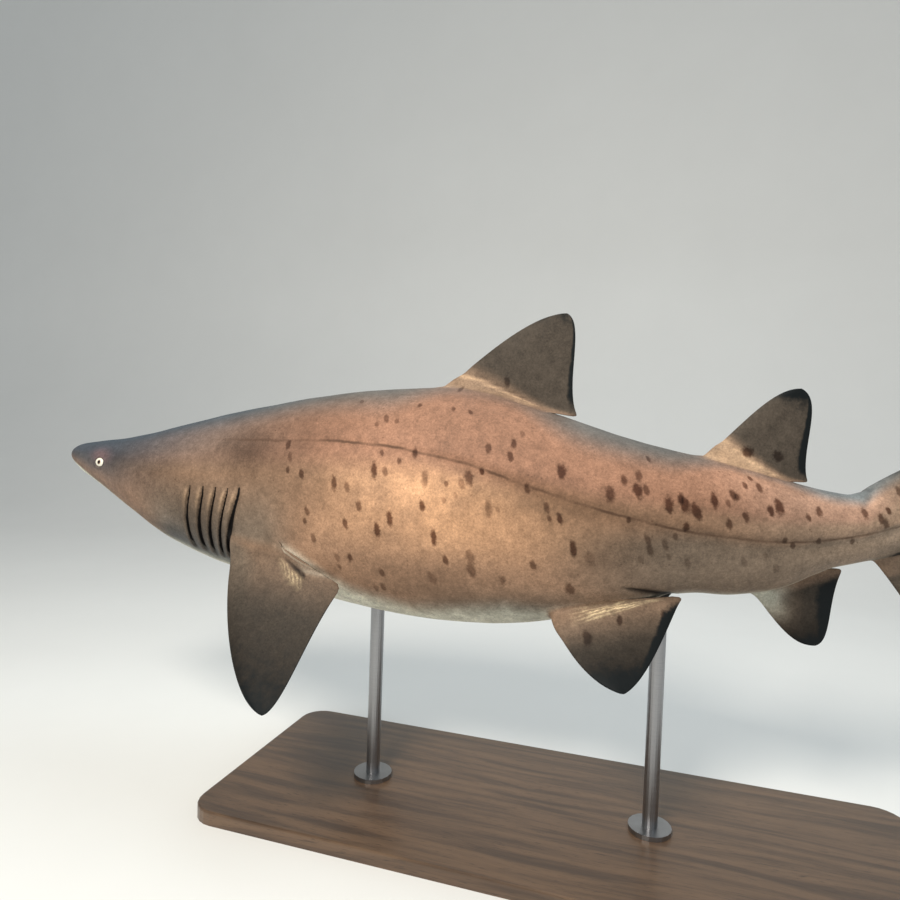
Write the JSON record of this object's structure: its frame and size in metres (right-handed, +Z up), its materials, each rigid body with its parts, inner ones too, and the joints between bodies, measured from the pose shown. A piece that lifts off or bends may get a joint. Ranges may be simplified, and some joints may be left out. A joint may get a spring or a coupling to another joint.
{
  "type": "grey nurse shark display model",
  "caption": "Life-size still model of a grey nurse (sand tiger) shark swimming, on a flat base with two short rods.",
  "frame": {"origin": "centre of the underside of the whole model's bounding box, on the floor", "axes": "+X from the head towards the tail, +Y to the shark's right side, +Z up"},
  "size_m": [2.5624, 0.7502, 1.121],
  "materials": {
    "skin": "satin, finely grained brown skin with darker spots and a pale belly",
    "fin_skin": "satin, dark brown fins with near-black margins",
    "eye": "glossy, pale iris with a dark upright pupil",
    "stand_base": "matt pale grey paint",
    "stand_rod": "satin steel"
  },
  "bodies": {
    "root": {"head": "skin", "lower_jaw": "skin", "gills_and_shoulders": "skin", "trunk_front": "skin", "trunk_middle": "skin", "trunk_rear": "skin", "tail_stalk": "skin", "tail_fin_upper_lobe": "fin_skin", "tail_fin_lower_lobe": "fin_skin", "first_dorsal_fin": "fin_skin", "second_dorsal_fin": "fin_skin", "anal_fin": "fin_skin", "pectoral_fin_left": "fin_skin", "pectoral_fin_right": "fin_skin", "pelvic_fin_left": "fin_skin", "pelvic_fin_right": "fin_skin", "eye_left": "eye", "eye_right": "eye", "stand_base": "stand_base", "stand_rod_front": "stand_rod", "stand_rod_rear": "stand_rod"}
  },
  "joints": []
}
